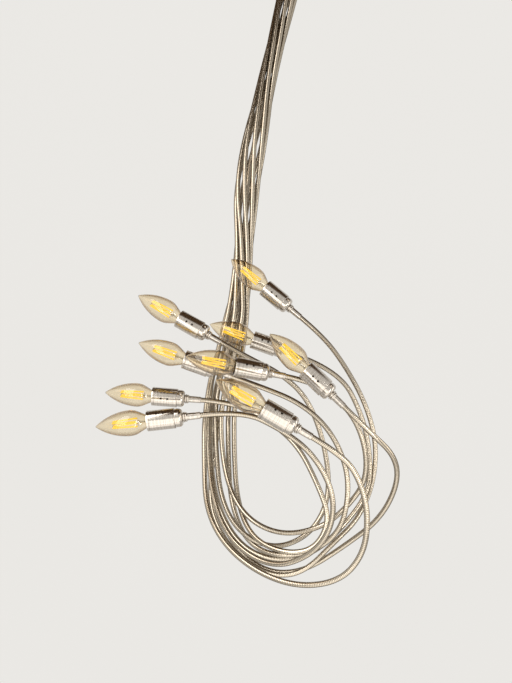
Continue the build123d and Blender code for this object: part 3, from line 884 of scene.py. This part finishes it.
class PENDANT_OT_hoses(bpy.types.Operator):
    """Builds the nine wound hoses and the short necks before their holders"""

    bl_idname = "pendant.hoses"
    bl_label = "Wound hoses"

    def execute(self, context):
        settings = context.scene.pendant_hose
        nickel = wound_nickel(settings)
        # Each hose goes on into its ferrule by these steps, in millimetres.
        steps = (2, 4, 6, 8)
        for arm in ARMS:
            line = smooth_line(arm_points(arm))
            out = holder_place(arm).col[2].xyz
            inside = np.array([line[-1] + np.array(out) * mm(step) for step in steps])
            line = np.concatenate([line, inside])
            lengths = np.concatenate([[0.0], np.cumsum(np.linalg.norm(np.diff(line, axis=0), axis=1))])
            end = lengths[-1]
            bend = end - mm(steps[-1]) - settings.neck
            hose = ribbed_hose(f"hose_{arm}", line, lengths, 0.0, bend, settings)
            put(f"hose_{arm}", hose, nickel, "fitting", None, [f"arm_{arm}_tube"])
            neck = ribbed_hose(f"neck_{arm}", line, lengths, bend, end, settings)
            piece = put(f"neck_{arm}", neck, nickel, None, None, ["arm_necks"])
            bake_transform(piece)
        return {"FINISHED"}


def rounded(centre_radius, centre_height, radius, start, end, steps):
    """Points of an arc in an outline, from one angle to another, in degrees."""
    points = []
    for step in range(steps + 1):
        angle = math.radians(start + (end - start) * step / steps)
        points.append((centre_radius + radius * math.cos(angle), centre_height + radius * math.sin(angle)))
    return points


def side_cutter(radius, height, angle, inner, outer):
    """A round cutter through a wall, square to the axis."""
    outline = ((0, inner), (radius, inner), (radius, outer), (0, outer))
    cutter = turned_mesh("cutter", outline, 20)
    lay = Matrix.Rotation(math.radians(90), 4, "Y")
    turn = Matrix.Rotation(math.radians(angle), 4, "Z")
    cutter.transform(Matrix.Translation((0, 0, mm(height))) @ turn @ lay)
    return cutter


class PENDANT_OT_holders(bpy.types.Operator):
    """Builds the nine turned lampholders with their side holes and small screws"""

    bl_idname = "pendant.holders"
    bl_label = "Turned lampholders"

    def execute(self, context):
        settings = context.scene.pendant_holder
        nickel = turned_nickel(settings)
        black = blackened_steel()
        foot = -settings.length * 1000
        ferrule = [
            (3.95, 0.0), (4.5, 0.0), (4.8, 0.3), (4.8, 3.0), (4.6, 3.2), (4.6, 3.6),
            (4.8, 3.8), (5.0, 17.2),
        ]
        rings = [
            (5.3, 17.4), (5.4, 18.2), (6.0, 18.3),
            *rounded(5.9, 19.2, 0.8, -70, 70, 6),
            (5.7, 20.1), (5.7, 20.5),
            *rounded(6.3, 21.8, 0.9, -75, 75, 6),
            (5.6, 22.8), (5.6, 23.4), (6.4, 24.0),
        ]
        end_cap = [
            *rounded(7.4, 29.2, 5.2, -90, 0, 10),
            (12.6, 33.4), (12.4, 33.6), (11.8, 33.6), (11.8, 34.4),
        ]
        barrel = [
            (13.3, 34.4),
            *rounded(13.3, 35.0, 0.6, -90, 0, 4),
            (13.9, 68.0), (13.4, 68.3), (13.4, 69.0), (13.9, 69.3),
            *rounded(13.3, 71.8, 0.6, 0, 90, 4),
            (12.9, 72.4), (12.45, 72.1), (12.4, 36.1), (3.95, 36.1),
        ]
        outline = [(radius, height + foot) for radius, height in ferrule + rings + end_cap + barrel]
        body = turned_mesh("holder", outline, settings.facets, closed=True)
        # Two screws on either side sit below the barrel's surface, and a larger hole is in the end cap's wall.
        screw_heights, screw_hole, screw_radius = (-14.6, -24.0), 1.6, 1.45
        cap_hole_height, cap_hole_turn, cap_hole = -41.8, 37, 1.9
        cutters, screws = [], []
        for side in (0, 180):
            for height in screw_heights:
                cutters.append(side_cutter(screw_hole, height, side, 11, 15))
                screws.append(side_cutter(screw_radius, height, side, 12.2, 12.9))
            cutters.append(side_cutter(cap_hole, cap_hole_height, side + cap_hole_turn, 10.2, 13.5))
        body = bored_mesh(body, cutters)
        screws = joined_mesh("grub_screws", screws)
        for arm in ARMS:
            place = holder_place(arm) @ Matrix.Rotation(math.radians(SCREW_TURNS[arm]), 4, "Z")
            head = f"head_{arm}"
            put(f"holder_{arm}", body, nickel, head, place, [f"holder_{arm}_shell"])
            put(f"grub_screws_{arm}", screws, black, head, place, ())
        return {"FINISHED"}


def envelope_outline(wall):
    """The candle shape in millimetres, a wall's thickness inside its outer surface, from neck to tip."""
    length, tip = 70.0, 1.6
    belly, belly_height = 17.5, 22.8
    shoulder, shoulder_slant = 24.0, 27
    neck, neck_foot = 7.3 - wall, -6.2
    tip_height = length - tip
    rise = tip_height - belly_height
    flank = (belly**2 + rise**2 - tip**2) / (2 * (belly - tip))
    lean = math.degrees(math.asin(rise / (flank - tip)))
    shoulder_arc = rounded(belly - shoulder, belly_height, shoulder - wall, -shoulder_slant, 0, 10)
    slope = math.tan(math.radians(shoulder_slant))
    cone = (neck, shoulder_arc[0][1] - (shoulder_arc[0][0] - neck) / slope)
    flank_arc = rounded(belly - flank, belly_height, flank - wall, 0, lean, 34)
    tip_arc = rounded(0, tip_height, tip - wall, lean, 90, 6)
    return [(neck, neck_foot), cone, *shoulder_arc, *flank_arc[1:], *tip_arc[1:-1], (0, length - wall)]


def cap_thread(radius, height, angle):
    """Rolls the round Edison thread into the cap's straight part."""
    straight_radius, straight_foot, straight_top = 6.9, -24.5, -7.5
    pitch, depth = 2.8, 0.7
    if radius < straight_radius or not straight_foot <= height <= straight_top:
        return radius
    return radius - depth / 2 * (1 - math.cos(2 * math.pi * height / pitch - angle))


def on_ring(radius, angle, height):
    """A point at an angle, in degrees, round the bulb's axis."""
    return (radius * math.cos(math.radians(angle)), radius * math.sin(math.radians(angle)), height)


def round_wire(name, path, radius, facets):
    """A wire of one thickness through a path in millimetres."""
    return swept_mesh(name, mm(np.array(path)), [mm(radius)] * len(path), facets, range(len(path)), 50)


def light_sticks():
    """Four light sticks that lean round the axis, and the wires that hold them."""
    foot_radius, foot_height = 5.6, 13.4
    head_radius, head_height = 4.6, 47.0
    lean, chips = 18, 21
    frame_wire, lead_wire, post = 0.28, 0.25, 0.4
    # Rings along a stick, as shares of its length, and their radii, which round its ends.
    shares = np.array([0.0, 0.006, 0.02, *np.linspace(0.05, 0.95, 19), 0.98, 0.994, 1.0])
    radii = np.array([0.7, 1.05, *[1.2] * 21, 1.05, 0.7])
    sticks, wires = [], []
    for angle in range(0, 360, 90):
        foot = np.array(on_ring(foot_radius, angle, foot_height))
        head = np.array(on_ring(head_radius, angle + lean, head_height))
        centres = foot + np.outer(shares, head - foot)
        sticks.append(swept_mesh("stick", mm(centres), mm(radii), 12, shares * chips, 50))
        lower = [on_ring(radius, angle, height) for radius, height in ((1.0, 11.6), (2.6, 12.6), (4.6, 12.6))]
        lower.append((*foot[:2], 13.6))
        upper = [(*head[:2], 46.7), (*(head[:2] * 0.75), 46.9), (*(head[:2] * 0.3), 46.5), (0, 0, 46.0)]
        wires += [round_wire("wire", path, frame_wire, 8) for path in (lower, upper)]
    wires.append(round_wire("post", [(0, 0, 13.0), (0, 0, 30.0), (0, 0, 46.6)], post, 10))
    lead = ((2.6, 0.0, -5.5), (1.3, 0.2, 2.0), (0.9, 0.0, 8.0), (0.9, 0.0, 12.0))
    for side in (-1, 1):
        wires.append(round_wire("lead", [(side * x, y, z) for x, y, z in lead], lead_wire, 8))
    return joined_mesh("light_sticks", sticks), joined_mesh("wires", wires)


class PENDANT_OT_bulbs(bpy.types.Operator):
    """Builds the nine candle bulbs: envelope, stem, wires, light sticks and screw cap"""

    bl_idname = "pendant.bulbs"
    bl_label = "Candle bulbs"

    def execute(self, context):
        settings = context.scene.pendant_bulb
        wall = settings.wall * 1000
        outside, inside = envelope_outline(0.0), envelope_outline(wall)
        glass = turned_mesh("envelope", outside + inside[::-1], settings.facets, closed=True)
        stem_outline = [
            (0, -6.1), (6.2, -6.1), (6.3, -5.2),
            *rounded(7.1, 0.6, 5.0, 248, 180, 8),
            (2.1, 9.8),
            *rounded(1.0, 11.4, 1.9, -50, 50, 6),
            (0.9, 13.8), (0, 14.0),
        ]
        stem = turned_mesh("stem", stem_outline, 40)
        sticks, wires = light_sticks()
        cap_heights = np.linspace(-24.6, -7.4, 70)
        cap_outline = [
            (0, -29.6), (2.2, -29.5), (2.4, -28.6), (3.1, -28.2), (3.3, -26.0),
            (6.2, -25.2),
            *[(6.95, height) for height in cap_heights],
            (7.0, -7.1), (8.0, -6.95), (8.3, -6.6), (8.3, -4.0), (8.0, -3.6), (7.36, -3.6),
            (7.35, -6.15), (0, -6.15),
        ]
        cap = turned_mesh("screw_cap", cap_outline, 40, relief=cap_thread)
        clear, pressed = blown_glass(settings), stem_glass()
        phosphor, wire_metal, cap_metal = phosphor_silicone(settings), nickel_wire(), rolled_cap_metal()
        for arm in ARMS:
            place = holder_place(arm)
            bulb = f"bulb_{arm}"
            inner = [f"bulb_{arm}_filaments"]
            put(f"envelope_{arm}", glass, clear, bulb, place, [f"bulb_{arm}_glass"])
            put(f"stem_{arm}", stem, pressed, bulb, place, inner)
            put(f"light_sticks_{arm}", sticks, phosphor, bulb, place, inner)
            put(f"wires_{arm}", wires, wire_metal, bulb, place, inner)
            put(f"screw_cap_{arm}", cap, cap_metal, bulb, place, [f"bulb_{arm}_cap"])
        return {"FINISHED"}


class PENDANT_OT_fitting(bpy.types.Operator):
    """Finishes the canopy, hub, strap, screws, terminal block and the inserts in the holders"""

    bl_idname = "pendant.fitting"
    bl_label = "Ceiling fitting"

    def execute(self, context):
        spun = brushed_nickel(context.scene.pendant_fitting)
        zinc = bright_zinc()
        polyamide = moulded_plastic("moulded_polyamide", "#DAD6CC", "#EFECE4", 0.45)
        phenolic = moulded_plastic("moulded_phenolic", "#15110E", "#2A231D", 0.35)
        dress("canopy", spun)
        dress("arm_hub", spun)
        dress("ceiling_strap", zinc)
        dress("fitting_screws", zinc)
        dress("terminal_block", polyamide)
        for arm in ARMS:
            dress(f"holder_{arm}_insert", phenolic)
        return {"FINISHED"}


class PENDANT_OT_stage(bpy.types.Operator):
    """Makes the pale studio, its soft lamps and the camera"""

    bl_idname = "pendant.stage"
    bl_label = "Studio"

    def execute(self, context):
        settings = context.scene.pendant_stage
        scene = context.scene
        floor_height, radius = settings.floor_height * 1000, settings.radius * 1000
        floor = turned_mesh("floor", [(radius, floor_height), (0, floor_height)], 96)
        wall = turned_mesh("backdrop", [(radius, settings.wall_top * 1000), (radius, floor_height)], 96)
        for name, mesh, paper in (("floor", floor, floor_paper), ("backdrop", wall, backdrop_paper)):
            put(name, mesh, paper(settings), None)
        # The lamps face the middle of the light.
        target = Vector((-0.05, -0.08, -0.85))
        lamps = (
            # place, width, height, power in watts, colour
            ((-0.15, -1.5, -1.75), 1.9, 1.5, 11, "#FFFCF6"),
            ((-0.1, -0.6, -2.45), 1.8, 1.2, 6, "#FFFCF6"),
            ((-0.95, -1.6, -0.35), 0.7, 2.6, 24, "#FFFCF7"),
            ((0.75, -1.4, -1.2), 0.12, 1.2, 6, "#FFFCF7"),
            ((1.9, -0.5, -0.9), 0.4, 1.8, 8, "#FFF8EC"),
            ((-1.7, -1.2, 0.4), 1.0, 1.0, 4, "#FFE9CF"),
        )
        for number, (place, width, height, power, colour) in enumerate(lamps):
            light = bpy.data.lights.new(f"lamp_{number}", "AREA")
            light.shape = "RECTANGLE"
            light.size, light.size_y = width, height
            light.energy = power
            light.color = linear(colour)[:3]
            lamp = bpy.data.objects.new(f"lamp_{number}", light)
            scene.collection.objects.link(lamp)
            lamp.location = place
            lamp.rotation_euler = (target - Vector(place)).to_track_quat("-Z", "Y").to_euler()
            # Neither the eye nor the glass sees the lamps themselves. Metal mirrors them.
            lamp.visible_camera = False
            lamp.visible_transmission = False
        world = bpy.data.worlds.new("dim_room")
        world.use_nodes = True
        world.node_tree.nodes.clear()
        sky = add_node(
            world.node_tree, "ShaderNodeBackground", {"Color": tuple(settings.upper), "Strength": 1.0}
        )
        add_node(world.node_tree, "ShaderNodeOutputWorld", {"Surface": sky.outputs[0]})
        scene.world = world
        # The eye is at the loop's height, 1.25 m in front of the bundle, and looks 12 degrees upwards.
        eye, upwards = (-0.062, -1.25, -1.0), 12
        focal_length, sensor_width = 42.17, 36.0
        camera = bpy.data.objects.new("camera", bpy.data.cameras.new("camera"))
        scene.collection.objects.link(camera)
        camera.data.lens = focal_length
        camera.data.sensor_width = sensor_width
        camera.location = eye
        camera.rotation_euler = (math.radians(90 + upwards), 0.0, 0.0)
        scene.camera = camera
        scene.view_settings.view_transform = "Standard"
        return {"FINISHED"}


class PENDANT_PT_panel(bpy.types.Panel):
    """Lists the light's pieces"""

    bl_idname = "PENDANT_PT_panel"
    bl_label = "Pendant light"
    bl_space_type = "VIEW_3D"
    bl_region_type = "UI"
    bl_category = "Pendant"

    def draw(self, context):
        for operator in OPERATORS:
            self.layout.operator(operator.bl_idname)
        for group in SETTINGS:
            box = self.layout.box()
            for name in SETTINGS[group].__annotations__:
                box.prop(getattr(context.scene, group), name)


OPERATORS = (PENDANT_OT_stage, PENDANT_OT_hoses, PENDANT_OT_holders, PENDANT_OT_bulbs, PENDANT_OT_fitting)
SETTINGS = {
    "pendant_stage": StageSettings,
    "pendant_hose": HoseSettings,
    "pendant_holder": HolderSettings,
    "pendant_bulb": BulbSettings,
    "pendant_fitting": FittingSettings,
}


def register():
    for group, settings in SETTINGS.items():
        bpy.utils.register_class(settings)
        setattr(bpy.types.Scene, group, PointerProperty(type=settings))
    for kind in (*OPERATORS, PENDANT_PT_panel):
        bpy.utils.register_class(kind)


def unregister():
    for kind in reversed((*OPERATORS, PENDANT_PT_panel)):
        bpy.utils.unregister_class(kind)
    for group, settings in SETTINGS.items():
        delattr(bpy.types.Scene, group)
        bpy.utils.unregister_class(settings)


def main():
    """Builds the whole light."""
    register()
    bpy.ops.pendant.stage()
    bpy.ops.pendant.hoses()
    bpy.ops.pendant.holders()
    bpy.ops.pendant.bulbs()
    bpy.ops.pendant.fitting()


if __name__ == "__main__":
    main()
